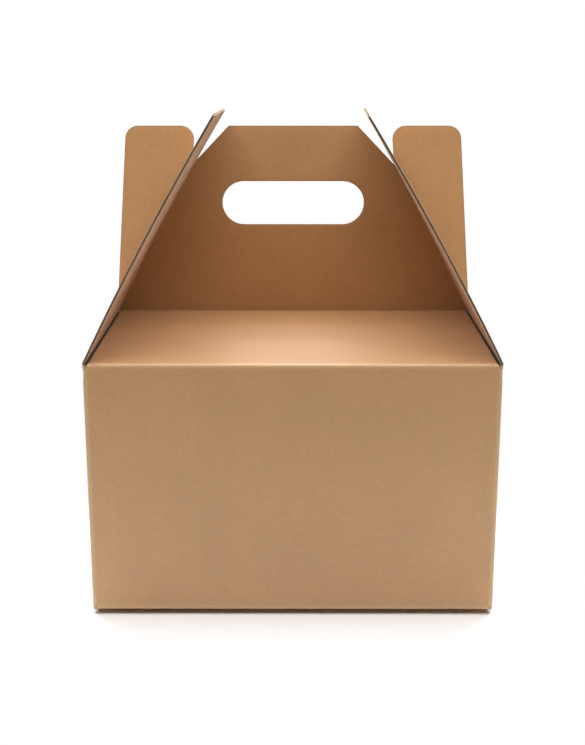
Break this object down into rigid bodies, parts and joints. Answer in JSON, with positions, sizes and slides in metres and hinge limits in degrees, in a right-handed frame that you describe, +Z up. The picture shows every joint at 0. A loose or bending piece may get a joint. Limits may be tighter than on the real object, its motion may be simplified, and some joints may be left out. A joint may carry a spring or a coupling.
{
  "type": "cardboard carry box",
  "caption": "Folded kraft corrugated carry box: rectangular body, flat front cover, two inward-leaning side flaps and an upright back handle panel with a hand hole and rounded side tabs.",
  "frame": {"origin": "on the floor, under the middle of the box", "axes": "+X to the right and -Y to the front as the box is seen from its cover's crease, +Z up"},
  "size_m": [0.24, 0.147, 0.2949],
  "materials": {
    "kraft_board": "matte brown kraft liner on corrugated board"
  },
  "bodies": {
    "carton": {"carton": "kraft_board"},
    "side_flap_left": {"side_flap_left": "kraft_board"},
    "side_flap_right": {"side_flap_right": "kraft_board"},
    "handle_panel": {"handle_panel": "kraft_board"}
  },
  "joints": [
    {"name": "side_flap_left_crease", "type": "hinge", "parent": "carton", "child": "side_flap_left", "pos_m": [-0.11925, 0, 0.1555], "axis": [0, 1, 0], "range_deg": [-115, 19]},
    {"name": "side_flap_right_crease", "type": "hinge", "parent": "carton", "child": "side_flap_right", "pos_m": [0.11925, 0, 0.1555], "axis": [0, -1, 0], "range_deg": [-115, 19]},
    {"name": "handle_panel_crease", "type": "hinge", "parent": "carton", "child": "handle_panel", "pos_m": [0, 0.07275, 0.1555], "axis": [-1, 0, 0], "range_deg": [0, 90]}
  ]
}
